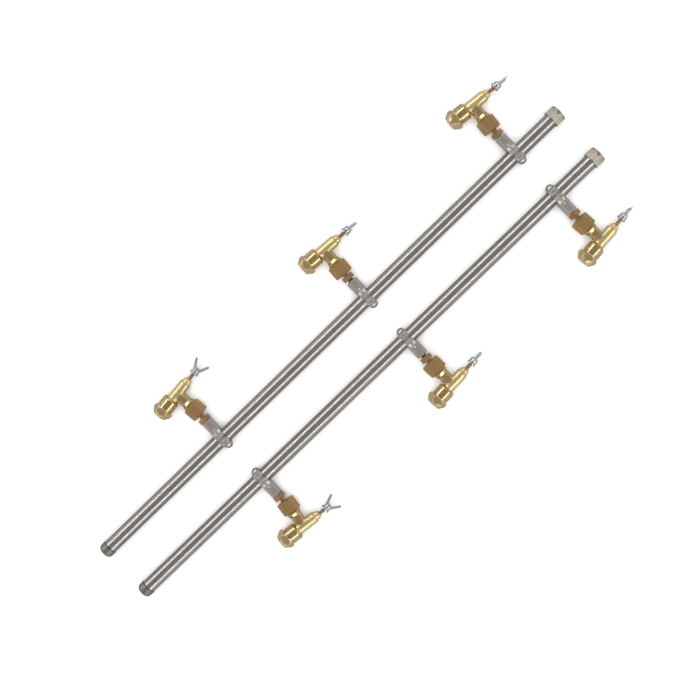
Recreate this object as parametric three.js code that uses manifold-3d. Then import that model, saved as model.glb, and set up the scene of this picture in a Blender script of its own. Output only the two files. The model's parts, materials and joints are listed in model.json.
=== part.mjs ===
// Burner assembly: two loose stainless rails lying side by side, mirror images of each other.
// Each rail is a pipe with a hexagonal inlet coupling on one end and a round cap on the other.
// Three split eyelet clamps on each rail carry adjustable ball fittings with needle jet valves.
//
// Frame, in millimetres: +X along the rails towards the inlet couplings, +Y from rail B to
// rail A, +Z up. The origin is on the surface that the assembly lies on, under its middle.

import * as THREE from "three";
import { mergeVertices } from "three/addons/utils/BufferGeometryUtils.js";
import Module from "manifold-3d";

const wasm = await Module();
wasm.setup();

// ---- driving dimensions ----
const GAP = 0.3; // clearance between touching pieces
const BALL_GAP = 0.6; // running clearance round the ball
const PIPE_SIDES = 16; // sides of the pipe and of what goes round it
const ROUND = 12; // sides of a large round
const SMALL_ROUND = 8; // sides of a small round

const RAIL_LENGTH = 914.8; // from the cap's end to the coupling's end
const RAIL_SPACING = 80.9; // between the two pipes' axes
const AXIS_HEIGHT = 14.5; // of the pipes' and valves' axes over the surface
const PIPE_RADIUS = 10.65; // half-inch nominal pipe
const PIPE_WALL = 2.1;
const CAP_RADIUS = 11.5;
const CAP_LENGTH = 13;
const COUPLING_LENGTH = 16;
const COUPLING_SOCKET = 7.5; // how far the pipe goes into the coupling
const COUPLING_BORE = 9.3; // half-inch pipe thread in the open end

const FIRST_STATION = 245.7; // from the cap's end to the first clamp
const STATION_PITCH = 292.8; // from clamp to clamp

const CLAMP_WIDTH = 13.5; // along the pipe
const CLAMP_RADIUS = 13.3;
const FOOT_DEPTH = 6.8; // half of the flat foot that the clamp stands on
const SPLIT = 1.4; // the open slit between the clamp's halves
const PAD_DEPTH = 6; // half of the flat pad over the slit
const PAD_TOP = 15; // over the pipe's axis
const BOSS_RADIUS = 6.5; // of the strap's boss, opposite the leg
const SCREW_RADIUS = 3.5; // the screw in the boss presses on the pipe
const HEAD_RADIUS = 6.8; // of the screw's ball-shaped head
const HEAD_CENTRE = -11.3; // from the pipe's axis
const LEG_RADIUS = 8.8;
const LEG_END = 33.5; // from the pipe's axis
const SPIGOT_RADIUS = 3.7; // enters the hole in the pipe's wall
const LEG_THREAD = 5.1; // radius of the leg's threaded socket
const LEG_SOCKET = 12; // its depth
const FLOW_RADIUS = 2.6; // of the passage to the valve

const NIPPLE_HEX = 10.1; // to the corners
const NIPPLE_HEX_LENGTH = 7.2;
const NECK_RADIUS = 4.4;
const BALL_RADIUS = 9.5;
const BALL_CENTRE = 55; // from the pipe's axis
const BALL_END = 6; // flat face of the ball, past its centre

const NUT_CORNER = 14.1; // to the corners, flats lying level
const NUT_FRONT = -8.3; // from the ball's centre
const NUT_BACK = 11.8;
const NUT_LIP_RADIUS = 7.7; // the lip holds the ball
const NUT_MOUTH_RADIUS = 9.2;

const JET_AXIS = 37.4; // from the ball's centre to the valve's axis
const INLET_RADIUS = 8.75;
const INLET_COLLAR = 10.4;
const INLET_COLLAR_END = 14.6; // from the ball's centre
const INLET_CONE_END = 18.5; // from the ball's centre
const INLET_NECK_RADIUS = 8.2; // where the inlet runs into the valve
const INLET_NECK = 6; // from the valve's axis
const INLET_THREAD = BALL_RADIUS - 0.1;
const CAP_END = -41.4; // these lengths are along the valve, from its inlet
const BARREL_START = -25.1;
const BARREL_END = -9.1;
const BARREL_RADIUS = 12.55;
const BONNET_RADIUS = 8.4;
const BONNET_END = 20.6;
const GLAND_START = 23.4;
const GLAND_END = 28.7;
const GLAND_RADIUS = 6.1;
const CHAMBER_RADIUS = 5;
const CHAMBER_END = 10;
const SPOUT_RADIUS = 8; // the jet cap screws onto the spout
const SPOUT_END = -31;
const JET_CAP_CORNER = 15.2; // turned radius, cut by the hexagon
const JET_CAP_FLAT = 13.2; // to the hexagon's flats
const JET_CAP_WIDEST = [8, 11]; // where it is widest, from its face
const JET_CAP_SKIRT = 1.5; // length
const JET_FACE_RADIUS = 10.4;
const JET_SKIRT_RADIUS = 12.2;
const ORIFICE_RADIUS = 1.1;
const ORIFICE_START = -36;
const STEM_RADIUS = 2.95;
const NEEDLE_BASE = -22;
const NEEDLE_TIP = -34;
const NEEDLE_TIP_RADIUS = 0.5;
const HUB_START = 38.5;
const HUB_END = 48.9;
const HUB_RADIUS = 6.65;
const HUB_FLANGE = 3.2; // thickness
const HUB_WAIST_RADIUS = 5.45;
const HUB_TOP_RADIUS = 4.65;
const WING_OFFSET = 2.2; // of a wing's root from the valve's axis
const WING_TIP = 60.7;
const WING_WIDTH = 4.3;
const WING_THICKNESS = 3.4;
const WING_SPREAD = 27; // degrees from the valve's axis

// What differs between the stations, from the cap's end: how far the nipple's hexagon stands
// off the leg, how far the valve leans at the ball, and how far the wing nut is turned.
const STATIONS = [
  { stand: 0.3, lean: 6.1, turn: 0 },
  { stand: 3.1, lean: -3.3, turn: 90 },
  { stand: 1.1, lean: -5, turn: 90 },
];

// ---- materials ----
function finish(color, roughness, metalness) {
  return new THREE.MeshStandardMaterial({ color, roughness, metalness });
}
const STAINLESS = finish(0xa8a39c, 0.32, 1);
const CAST = finish(0x9a9893, 0.55, 0.9);
const SCREW_STEEL = finish(0xb4b2ae, 0.35, 1);
const RED_BRASS = finish(0xb0793f, 0.35, 1);
const DULL_BRASS = finish(0x8c6b36, 0.45, 1);
const BRASS = finish(0xd4af5a, 0.25, 1);
const ZINC = finish(0xa7b0b2, 0.4, 1);

// ---- solids ----
function solidOf(geometry) {
  geometry.deleteAttribute("normal");
  geometry.deleteAttribute("uv");
  const merged = mergeVertices(geometry, 1e-4);
  return new wasm.Manifold(
    new wasm.Mesh({
      numProp: 3,
      vertProperties: new Float32Array(merged.attributes.position.array),
      triVerts: new Uint32Array(merged.index.array),
    }),
  );
}

function meshOf(name, solid, material) {
  const made = solid.getMesh();
  const geometry = new THREE.BufferGeometry();
  const position = new THREE.BufferAttribute(made.vertProperties, made.numProp);
  geometry.setAttribute("position", position);
  geometry.setIndex(new THREE.BufferAttribute(made.triVerts, 1));
  geometry.computeVertexNormals();
  const mesh = new THREE.Mesh(geometry, material);
  mesh.name = name;
  return mesh;
}

// A turned piece about +Y. Its outline is a list of [radius, distance along the axis] that
// goes up the outside, and starts and ends on the axis.
function turnedY(outline, sides) {
  const points = outline.map(([radius, along]) => new THREE.Vector2(radius, along));
  return new THREE.LatheGeometry(points, sides);
}

function turnedX(outline, sides) {
  return turnedY(outline, sides).rotateZ(-Math.PI / 2);
}

function rod(radius, from, to) {
  return [
    [0, from],
    [radius, from],
    [radius, to],
    [0, to],
  ];
}

function rodY(radius, from, to, sides = ROUND) {
  return solidOf(turnedY(rod(radius, from, to), sides));
}

function rodX(radius, from, to, sides = ROUND) {
  return solidOf(turnedX(rod(radius, from, to), sides));
}

function block([x0, y0, z0], [x1, y1, z1]) {
  const box = new THREE.BoxGeometry(x1 - x0, y1 - y0, z1 - z0);
  return solidOf(box.translate((x0 + x1) / 2, (y0 + y1) / 2, (z0 + z1) / 2));
}

// A hexagonal bar along +Y with its corners at the given radius. One corner points up, or
// one flat when flatUp is set.
function hexBar(corner, from, to, flatUp) {
  const bar = new THREE.CylinderGeometry(corner, corner, to - from, 6);
  bar.translate(0, (from + to) / 2, 0);
  return flatUp ? bar.rotateY(Math.PI / 6) : bar;
}

function hexY(corner, from, to, flatUp = false) {
  return solidOf(hexBar(corner, from, to, flatUp));
}

function hexX(corner, from, to, flatUp = false) {
  return solidOf(hexBar(corner, from, to, flatUp).rotateZ(-Math.PI / 2));
}

// ---- rail: pipe, coupling and cap, along X with the pipe's axis at the origin ----
const CAP_FACE = -RAIL_LENGTH / 2;
const COUPLING_FACE = RAIL_LENGTH / 2;
const PIPE_START = CAP_FACE + CAP_LENGTH + GAP;
const PIPE_END = COUPLING_FACE - COUPLING_LENGTH + COUPLING_SOCKET;
const PIPE_BORE = PIPE_RADIUS - PIPE_WALL;

function stationX(index) {
  return CAP_FACE + FIRST_STATION + index * STATION_PITCH;
}

function pipe() {
  let solid = rodX(PIPE_RADIUS, PIPE_START, PIPE_END, PIPE_SIDES);
  solid = solid.subtract(rodX(PIPE_BORE, PIPE_START - 1, PIPE_END + 1, PIPE_SIDES));
  for (let index = 0; index < STATIONS.length; index += 1) {
    const hole = turnedY(rod(SPIGOT_RADIUS + GAP, 2, PIPE_RADIUS + 2), SMALL_ROUND);
    solid = solid.subtract(solidOf(hole.translate(stationX(index), 0, 0)));
  }
  return solid;
}

function inletCoupling() {
  const start = COUPLING_FACE - COUPLING_LENGTH;
  const chamfer = 1.6;
  const shape = turnedX(
    [
      [0, start],
      [AXIS_HEIGHT - chamfer, start],
      [AXIS_HEIGHT, start + chamfer / 2],
      [AXIS_HEIGHT, COUPLING_FACE - chamfer / 2],
      [AXIS_HEIGHT - chamfer, COUPLING_FACE],
      [0, COUPLING_FACE],
    ],
    PIPE_SIDES,
  );
  return hexX(AXIS_HEIGHT, start, COUPLING_FACE)
    .intersect(solidOf(shape))
    .subtract(rodX(PIPE_RADIUS + GAP, start - 1, PIPE_END + GAP, PIPE_SIDES))
    .subtract(rodX(COUPLING_BORE, PIPE_END - 1, COUPLING_FACE + 1, PIPE_SIDES));
}

function endCap() {
  const edge = 2.4;
  const inset = edge * (1 - Math.SQRT1_2);
  const plug = 6;
  const outline = [
    [0, CAP_FACE],
    [CAP_RADIUS - edge, CAP_FACE],
    [CAP_RADIUS - inset, CAP_FACE + inset],
    [CAP_RADIUS, CAP_FACE + edge],
    [CAP_RADIUS, CAP_FACE + CAP_LENGTH],
    [PIPE_BORE - GAP, CAP_FACE + CAP_LENGTH],
    [PIPE_BORE - GAP, CAP_FACE + CAP_LENGTH + plug],
    [0, CAP_FACE + CAP_LENGTH + plug],
  ];
  return solidOf(turnedX(outline, PIPE_SIDES));
}

// ---- clamp: about the pipe's axis along X, with its leg along +Y and its slit on top ----
// The strap hooks into the saddle over and under the pipe.
const TONGUE = { half: 2.7, reach: 5 };
const TONGUE_HEIGHTS = [
  [-13.4, -12.2],
  [12.3, 13.5],
];

function clampHalf(side) {
  const half = CLAMP_WIDTH / 2;
  const inner = side * (SPLIT / 2);
  function slab(depth, low, high) {
    const outer = side * depth;
    return block([-half, Math.min(inner, outer), low], [half, Math.max(inner, outer), high]);
  }
  return rodX(CLAMP_RADIUS, -half, half, PIPE_SIDES)
    .intersect(slab(CLAMP_RADIUS, -CLAMP_RADIUS, CLAMP_RADIUS))
    .add(slab(FOOT_DEPTH, -AXIS_HEIGHT, 0))
    .add(slab(PAD_DEPTH, 0, PAD_TOP));
}

function pipeCut() {
  return rodX(PIPE_RADIUS + GAP, -CLAMP_WIDTH, CLAMP_WIDTH, PIPE_SIDES);
}

function clampSaddle() {
  const spigotEnd = PIPE_RADIUS - PIPE_WALL - 1;
  const chamfer = 0.9;
  const leg = turnedY(
    [
      [0, 0],
      [LEG_RADIUS, 0],
      [LEG_RADIUS, LEG_END - chamfer],
      [LEG_RADIUS - chamfer, LEG_END],
      [0, LEG_END],
    ],
    ROUND,
  );
  let solid = clampHalf(1)
    .add(solidOf(leg).trimByPlane([0, 1, 0], SPLIT / 2))
    .subtract(pipeCut())
    .add(rodY(SPIGOT_RADIUS, spigotEnd, PIPE_RADIUS + 4, SMALL_ROUND))
    .subtract(rodY(FLOW_RADIUS, 0, LEG_END, SMALL_ROUND))
    .subtract(rodY(LEG_THREAD, LEG_END - LEG_SOCKET, LEG_END + 1));
  for (const [low, high] of TONGUE_HEIGHTS) {
    const pocket = block(
      [-TONGUE.half - GAP, 0, low - GAP],
      [TONGUE.half + GAP, TONGUE.reach + GAP, high + GAP],
    );
    solid = solid.subtract(pocket);
  }
  return solid;
}

function clampStrap() {
  let solid = clampHalf(-1)
    .add(rodY(BOSS_RADIUS, -CLAMP_RADIUS, -SPLIT))
    .subtract(pipeCut())
    .subtract(rodY(SCREW_RADIUS + GAP, -CLAMP_RADIUS - 1, -SPLIT, SMALL_ROUND));
  for (const [low, high] of TONGUE_HEIGHTS) {
    const tongue = block(
      [-TONGUE.half, -SPLIT, low],
      [TONGUE.half, TONGUE.reach, high],
    );
    solid = solid.add(tongue);
  }
  return solid;
}

function clampScrew() {
  const base = -CLAMP_RADIUS - GAP;
  const widest = Math.acos((HEAD_CENTRE - base) / HEAD_RADIUS);
  const outline = [];
  const steps = 4;
  for (let step = 0; step <= steps; step += 1) {
    const angle = (step / steps) * widest;
    const along = HEAD_CENTRE - HEAD_RADIUS * Math.cos(angle);
    outline.push([HEAD_RADIUS * Math.sin(angle), along]);
  }
  outline.push(
    [SCREW_RADIUS, base],
    [SCREW_RADIUS, -PIPE_RADIUS - GAP],
    [0, -PIPE_RADIUS - GAP],
  );
  return solidOf(turnedY(outline, ROUND));
}

// ---- ball fitting: along +Y, distances from the pipe's axis ----
function ballNipple(stand) {
  const hexStart = LEG_END + stand;
  const hexEnd = hexStart + NIPPLE_HEX_LENGTH;
  const threadStart = LEG_END - LEG_SOCKET + 3;
  const neckAngle = Math.asin(NECK_RADIUS / BALL_RADIUS);
  const endAngle = Math.acos(BALL_END / BALL_RADIUS);
  const outline = [
    [0, threadStart],
    [LEG_THREAD - GAP, threadStart],
    [LEG_THREAD - GAP, hexStart],
    [NECK_RADIUS, hexStart],
  ];
  const steps = 6;
  for (let step = 0; step <= steps; step += 1) {
    const angle = neckAngle + (step / steps) * (Math.PI - endAngle - neckAngle);
    const radius = BALL_RADIUS * Math.sin(angle);
    outline.push([radius, BALL_CENTRE - BALL_RADIUS * Math.cos(angle)]);
  }
  outline.push([0, BALL_CENTRE + BALL_END]);
  return solidOf(turnedY(outline, ROUND))
    .add(hexY(NIPPLE_HEX, hexStart, hexEnd))
    .subtract(rodY(FLOW_RADIUS, threadStart - 1, BALL_CENTRE + BALL_RADIUS, SMALL_ROUND));
}

// The nut and the valve are drawn from the ball's centre.
function ballNut() {
  const chamfer = 2.2;
  const outside = turnedY(
    [
      [0, NUT_FRONT],
      [NUT_CORNER - chamfer, NUT_FRONT],
      [NUT_CORNER, NUT_FRONT + chamfer],
      [NUT_CORNER, NUT_BACK - chamfer],
      [NUT_CORNER - chamfer, NUT_BACK],
      [0, NUT_BACK],
    ],
    ROUND,
  );
  const ballSeat = BALL_RADIUS + BALL_GAP;
  const lipAngle = Math.asin(NUT_LIP_RADIUS / ballSeat);
  const lip = -ballSeat * Math.cos(lipAngle);
  const inside = [
    [0, NUT_FRONT - 1],
    [NUT_MOUTH_RADIUS, NUT_FRONT - 1],
    [NUT_MOUTH_RADIUS, NUT_FRONT],
    [NUT_LIP_RADIUS, lip - 0.5],
  ];
  const steps = 2;
  for (let step = 0; step <= steps; step += 1) {
    const angle = lipAngle + (step / steps) * (Math.PI / 2 - lipAngle);
    inside.push([ballSeat * Math.sin(angle), -ballSeat * Math.cos(angle)]);
  }
  inside.push([ballSeat, NUT_BACK + 1], [0, NUT_BACK + 1]);
  return hexY(NUT_CORNER, NUT_FRONT, NUT_BACK, true)
    .intersect(solidOf(outside))
    .subtract(solidOf(turnedY(inside, ROUND)));
}

// ---- valve: along X about its own axis, with its inlet at the ball's side (-Y) ----
function valveBody() {
  const shoulder = 3;
  const barrel = turnedX(
    [
      [0, SPOUT_END],
      [SPOUT_RADIUS, SPOUT_END],
      [SPOUT_RADIUS, BARREL_START],
      [BARREL_RADIUS, BARREL_START],
      [BARREL_RADIUS, BARREL_END - shoulder],
      [BONNET_RADIUS, BARREL_END],
      [BONNET_RADIUS, BONNET_END],
      [GLAND_RADIUS, GLAND_START],
      [GLAND_RADIUS, GLAND_END],
      [0, GLAND_END],
    ],
    ROUND,
  );
  const seatFace = 5;
  const inlet = turnedY(
    [
      [0, seatFace - JET_AXIS],
      [INLET_THREAD, seatFace - JET_AXIS],
      [INLET_THREAD, NUT_BACK + GAP - JET_AXIS],
      [INLET_COLLAR, NUT_BACK + GAP - JET_AXIS],
      [INLET_COLLAR, INLET_COLLAR_END - JET_AXIS],
      [INLET_RADIUS, INLET_CONE_END - JET_AXIS],
      [INLET_RADIUS, -2 * INLET_NECK],
      [INLET_NECK_RADIUS, -INLET_NECK],
      [INLET_NECK_RADIUS, 0],
      [0, 0],
    ],
    ROUND,
  );
  const ballSeat = new THREE.SphereGeometry(BALL_RADIUS + BALL_GAP, ROUND, ROUND / 2);
  return solidOf(barrel)
    .add(solidOf(inlet))
    .subtract(solidOf(ballSeat.translate(0, -JET_AXIS, 0)))
    .subtract(rodX(CHAMBER_RADIUS, SPOUT_END - 1, CHAMBER_END, SMALL_ROUND))
    .subtract(rodX(STEM_RADIUS + GAP, 0, GLAND_END + 1, SMALL_ROUND))
    .subtract(rodY(FLOW_RADIUS, -JET_AXIS, 0, SMALL_ROUND));
}

function jetCap() {
  const face = CAP_END;
  const back = BARREL_START - GAP;
  const outside = turnedX(
    [
      [0, face],
      [JET_FACE_RADIUS, face],
      [JET_CAP_CORNER, face + JET_CAP_WIDEST[0]],
      [JET_CAP_CORNER, face + JET_CAP_WIDEST[1]],
      [JET_SKIRT_RADIUS, back - JET_CAP_SKIRT],
      [JET_SKIRT_RADIUS, back],
      [0, back],
    ],
    ROUND,
  );
  const hexCorner = JET_CAP_FLAT / Math.cos(Math.PI / 6);
  return hexX(hexCorner, face, back, true)
    .intersect(solidOf(outside))
    .subtract(rodX(SPOUT_RADIUS + GAP, SPOUT_END - GAP, back + 1, ROUND))
    .subtract(rodX(CHAMBER_RADIUS, ORIFICE_START, back, SMALL_ROUND))
    .subtract(rodX(ORIFICE_RADIUS, face - 1, back, SMALL_ROUND));
}

function needleStem() {
  const outline = [
    [0, NEEDLE_TIP],
    [NEEDLE_TIP_RADIUS, NEEDLE_TIP],
    [STEM_RADIUS, NEEDLE_BASE],
    [STEM_RADIUS, HUB_START + 2],
    [0, HUB_START + 2],
  ];
  return solidOf(turnedX(outline, SMALL_ROUND));
}

function wing(side) {
  const root = HUB_START + HUB_FLANGE + 1.7;
  const length = (WING_TIP - root) / Math.cos(THREE.MathUtils.degToRad(WING_SPREAD));
  const half = WING_WIDTH / 2;
  const outline = new THREE.Shape();
  outline.moveTo(0, -half);
  outline.lineTo(length - half, -half);
  outline.absarc(length - half, 0, half, -Math.PI / 2, Math.PI / 2, false);
  outline.lineTo(0, half);
  const strip = new THREE.ExtrudeGeometry(outline, {
    depth: WING_THICKNESS,
    bevelEnabled: false,
    curveSegments: 3,
  });
  strip.translate(0, 0, -WING_THICKNESS / 2);
  strip.rotateZ(side * THREE.MathUtils.degToRad(WING_SPREAD));
  return solidOf(strip.translate(root, side * WING_OFFSET, 0));
}

function wingNut() {
  const hub = turnedX(
    [
      [0, HUB_START],
      [HUB_RADIUS, HUB_START],
      [HUB_RADIUS, HUB_START + HUB_FLANGE],
      [HUB_WAIST_RADIUS, HUB_START + HUB_FLANGE + 1.4],
      [HUB_TOP_RADIUS, HUB_END],
      [0, HUB_END],
    ],
    ROUND,
  );
  return solidOf(hub)
    .add(wing(1))
    .add(wing(-1))
    .subtract(rodX(STEM_RADIUS + GAP, HUB_START - 1, HUB_START + 2 + GAP, SMALL_ROUND));
}

// ---- assembly ----
function takeOff(name, station, side) {
  const degrees = THREE.MathUtils.degToRad;
  const clamp = new THREE.Group();
  clamp.add(
    meshOf(`${name}_clamp_saddle`, clampSaddle(), CAST),
    meshOf(`${name}_clamp_strap`, clampStrap(), CAST),
    meshOf(`${name}_clamp_screw`, clampScrew(), SCREW_STEEL),
    meshOf(`${name}_ball_nipple`, ballNipple(station.stand), RED_BRASS),
  );
  clamp.rotation.z = side > 0 ? 0 : Math.PI;

  // Rail B's valves point the same way along X as rail A's, so they are turned over about X.
  const valve = new THREE.Group();
  const onAxis = new THREE.Group();
  const nut = meshOf(`${name}_ball_nut`, ballNut(), DULL_BRASS);
  const handle = meshOf(`${name}_wing_nut`, wingNut(), ZINC);
  handle.rotation.x = degrees(station.turn);
  onAxis.add(
    meshOf(`${name}_valve_body`, valveBody(), BRASS),
    meshOf(`${name}_jet_cap`, jetCap(), BRASS),
    meshOf(`${name}_needle_stem`, needleStem(), RED_BRASS),
    handle,
  );
  onAxis.position.y = JET_AXIS;
  valve.add(nut, onAxis);
  valve.rotation.z = degrees(station.lean);
  valve.position.y = BALL_CENTRE;

  const fitting = new THREE.Group();
  fitting.add(valve);
  fitting.rotation.x = side > 0 ? 0 : Math.PI;

  const whole = new THREE.Group();
  whole.add(clamp, fitting);
  return whole;
}

function rail(letter, side) {
  const parts = new THREE.Group();
  const tube = new THREE.Group();
  tube.add(
    meshOf(`rail_${letter}_pipe`, pipe(), STAINLESS),
    meshOf(`rail_${letter}_inlet_coupling`, inletCoupling(), CAST),
    meshOf(`rail_${letter}_end_cap`, endCap(), STAINLESS),
  );
  tube.rotation.x = side > 0 ? 0 : Math.PI;
  parts.add(tube);
  STATIONS.forEach((station, index) => {
    const fitted = takeOff(`${letter}${index + 1}`, station, side);
    fitted.position.x = stationX(index);
    parts.add(fitted);
  });
  parts.position.set(0, (side * RAIL_SPACING) / 2, AXIS_HEIGHT);
  return parts;
}

const assembly = new THREE.Group();
assembly.add(rail("a", 1), rail("b", -1));

export default assembly;
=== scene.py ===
import json
import math

import bmesh
import bpy
from mathutils import Matrix, Vector


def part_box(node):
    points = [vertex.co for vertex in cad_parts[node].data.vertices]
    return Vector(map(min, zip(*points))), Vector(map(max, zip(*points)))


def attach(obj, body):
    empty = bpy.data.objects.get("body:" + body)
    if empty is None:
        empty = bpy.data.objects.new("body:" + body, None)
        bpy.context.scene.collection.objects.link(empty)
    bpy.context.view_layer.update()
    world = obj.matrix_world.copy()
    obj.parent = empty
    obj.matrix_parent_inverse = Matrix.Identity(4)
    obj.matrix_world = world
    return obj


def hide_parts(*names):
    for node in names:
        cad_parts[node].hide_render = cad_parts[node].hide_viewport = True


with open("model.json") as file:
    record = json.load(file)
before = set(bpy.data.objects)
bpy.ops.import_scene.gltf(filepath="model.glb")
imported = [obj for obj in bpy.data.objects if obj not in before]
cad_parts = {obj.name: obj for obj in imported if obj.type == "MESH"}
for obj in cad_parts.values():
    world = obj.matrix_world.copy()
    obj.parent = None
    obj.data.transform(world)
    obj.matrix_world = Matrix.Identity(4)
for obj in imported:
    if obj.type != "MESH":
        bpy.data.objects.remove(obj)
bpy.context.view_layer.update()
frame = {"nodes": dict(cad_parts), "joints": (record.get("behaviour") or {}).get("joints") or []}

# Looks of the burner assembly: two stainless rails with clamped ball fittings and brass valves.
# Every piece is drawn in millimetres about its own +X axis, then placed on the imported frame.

MM = 0.001
UP = Vector((0, 0, 1))
SIDES = 72  # round a turned piece; a multiple of 12, so that hexagons keep their corners
FINE_SIDES = 96  # round the pipe and its seats
THREAD_RINGS = 8  # along a turn of a screw thread
SUPPORT = 0.3  # from the end of a long stretch to the ring that keeps it straight
HEAD_SLOPE = math.tan(math.radians(30))  # of the cone that turns off a hexagon's corners
GAP = 0.3  # between touching pieces, as in the CAD
ALONG_Y = Matrix.Rotation(math.radians(90), 4, "Z")  # turns +X to +Y

RAILS = ("a", "b")
TAKE_OFFS = [rail + str(number) for rail in RAILS for number in (1, 2, 3)]
JOINTS = {joint["name"]: joint for joint in frame["joints"]}


# ---- places on the frame ----
def axes_at(origin, x, y):
    """The place at origin whose own axes are x, y and their cross product."""
    place = Matrix((x, y, x.cross(y))).transposed().to_4x4()
    place.translation = origin
    return place


def rail_place(rail):
    """On the middle of the pipe's axis, with +X along it and +Z up."""
    lo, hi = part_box(f"rail_{rail}_pipe")
    return axes_at((lo + hi) / 2, Vector((1, 0, 0)), Vector((0, 1, 0)))


def branch_place(name):
    """On the pipe's axis under the clamp, with +X along the branch and +Z up."""
    ball = Vector(JOINTS[f"{name}_tilt"]["pos_m"])
    out = Vector(JOINTS[f"{name}_swivel"]["axis"])
    origin = Vector((ball.x, rail_place(name[0]).translation.y, ball.z))
    return axes_at(origin, out, UP.cross(out))


def inlet_place(name):
    """On the ball's centre, with +X towards the valve and +Z up."""
    ball = Vector(JOINTS[f"{name}_tilt"]["pos_m"])
    out = (Vector(JOINTS[f"{name}_wing_turn"]["pos_m"]) - ball).normalized()
    return axes_at(ball, out, UP.cross(out))


def valve_place(name):
    """Where the valve's axis meets its inlet, with +X towards the wing nut, +Y off the ball."""
    centre = Vector(JOINTS[f"{name}_wing_turn"]["pos_m"])
    along = Vector(JOINTS[f"{name}_stem_travel"]["axis"])
    off_ball = (centre - Vector(JOINTS[f"{name}_tilt"]["pos_m"])).normalized()
    return axes_at(centre, along.normalized(), off_ball)


def wing_place(name):
    """The valve's place, turned about its axis so that the wings lie in the XY plane."""
    place = valve_place(name)
    hi = extent(f"{name}_wing_nut", place)[1]
    edge_on = hi.z > hi.y
    return place @ Matrix.Rotation(math.pi / 2 if edge_on else 0, 4, "X")


def points_of(node_name, place):
    """The vertices of a CAD node along a place's own axes, in millimetres."""
    inverse = place.inverted()
    return [inverse @ vertex.co / MM for vertex in frame["nodes"][node_name].data.vertices]


def extent(node_name, place):
    """Lowest and highest corner of a CAD node along a place's own axes, in millimetres."""
    points = points_of(node_name, place)
    lowest = Vector([min(point[i] for point in points) for i in range(3)])
    highest = Vector([max(point[i] for point in points) for i in range(3)])
    return lowest, highest


# ---- shapes ----
def turned(rings, closed=False, sides=SIDES):
    """A surface turned about +X. A ring is (along, radius), or a function of the angle from +Z
    that gives both. A closed one joins its last ring to its first, as round a bore."""
    shape = bmesh.new()
    loops = []
    for ring in rings:
        if not callable(ring) and ring[1] == 0:
            loops.append([shape.verts.new((ring[0], 0, 0))])
            continue
        loop = []
        for step in range(sides):
            angle = step / sides * 2 * math.pi
            along, radius = ring(angle) if callable(ring) else ring
            loop.append(shape.verts.new((along, radius * math.sin(angle), radius * math.cos(angle))))
        loops.append(loop)
    following = loops[1:] + (loops[:1] if closed else [])
    for near, far in zip(loops, following):
        for step in range(sides):
            after = (step + 1) % sides
            corners = [near[step % len(near)], near[after % len(near)]]
            corners += [far[after % len(far)], far[step % len(far)]]
            shape.faces.new(list(dict.fromkeys(corners)))
    bmesh.ops.recalc_face_normals(shape, faces=shape.faces)
    return shape


def arc(along, radius, size, start, end, steps=6):
    """Points of an arc of that size about (along, radius); 0 degrees is +X, 90 is outward."""
    points = []
    for step in range(steps + 1):
        angle = math.radians(start + (end - start) * step / steps)
        points.append((along + size * math.cos(angle), radius + size * math.sin(angle)))
    return points


def straight(outline):
    """A turned shape with rings near the ends of its long stretches, so that they shade flat."""
    rings = [outline[0]]
    for start, end in zip(outline, outline[1:]):
        length = math.dist(start, end)
        if length > 4 * SUPPORT:
            for share in (SUPPORT / length, 1 - SUPPORT / length):
                rings.append(tuple(a + (b - a) * share for a, b in zip(start, end)))
        rings.append(end)
    return turned(rings)


def thread(start, end, crest, depth, pitch):
    """Rings of a screw thread from start to end, with crests of the given radius. The first and
    the last ring lie at its root."""
    count = max(2, round((end - start) / pitch * THREAD_RINGS))

    def ring(along):
        def at(angle):
            phase = (along / pitch - angle / (2 * math.pi)) % 1
            groove = abs(2 * phase - 1) if start < along < end else 1
            return along, crest - depth * groove

        return at

    return [ring(start + (end - start) * step / count) for step in range(count + 1)]


def hexagon(flat, flat_up):
    """Distance from the axis to the side of a hexagonal bar, by the angle from +Z."""
    turn = math.pi / 6 if flat_up else 0

    def reach(angle):
        return flat / math.cos((angle + turn) % (math.pi / 3) - math.pi / 6)

    return reach


def hex_head(start, end, corner, face, flat_up=False, tip=None):
    """Rings of a hexagonal head whose corners are turned off to the face radius. A tip gives its
    far end another face radius, and a cone of another length."""
    reach = hexagon(corner * math.cos(math.pi / 6), flat_up)
    tip_face, tip_length = tip or (face, (corner - face) * HEAD_SLOPE)

    def set_back(angle):
        return max(0, reach(angle) - face) * HEAD_SLOPE

    def tip_back(angle):
        return max(0, reach(angle) - tip_face) / (corner - tip_face) * tip_length

    return [
        lambda angle: (start, min(face, reach(angle))),
        lambda angle: (start + set_back(angle), reach(angle)),
        lambda angle: (end - tip_back(angle), reach(angle)),
        lambda angle: (end, min(tip_face, reach(angle))),
    ]


def block(lowest, highest):
    """A box between two corners."""
    shape = bmesh.new()
    bmesh.ops.create_cube(shape, size=1)
    size = Vector(highest) - Vector(lowest)
    middle = (Vector(highest) + Vector(lowest)) / 2
    bmesh.ops.transform(
        shape, verts=shape.verts, matrix=Matrix.Translation(middle) @ Matrix.Diagonal((*size, 1))
    )
    return shape


def hull(points):
    """The convex hull of some points."""
    shape = bmesh.new()
    for point in points:
        shape.verts.new(point)
    made = bmesh.ops.convex_hull(shape, input=shape.verts)
    spare = {item for item in made["geom_interior"] if isinstance(item, bmesh.types.BMVert)}
    bmesh.ops.delete(shape, geom=list(spare), context="VERTS")
    bmesh.ops.recalc_face_normals(shape, faces=shape.faces)
    return shape


def disc(centre, radius, normal="X"):
    """Points round a circle with its normal along X or Z."""
    steps = 24
    points = []
    for step in range(steps):
        angle = step / steps * 2 * math.pi
        a, b = radius * math.cos(angle), radius * math.sin(angle)
        offset = {"X": (0, a, b), "Z": (a, b, 0)}[normal]
        points.append(Vector(centre) + Vector(offset))
    return points


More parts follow.
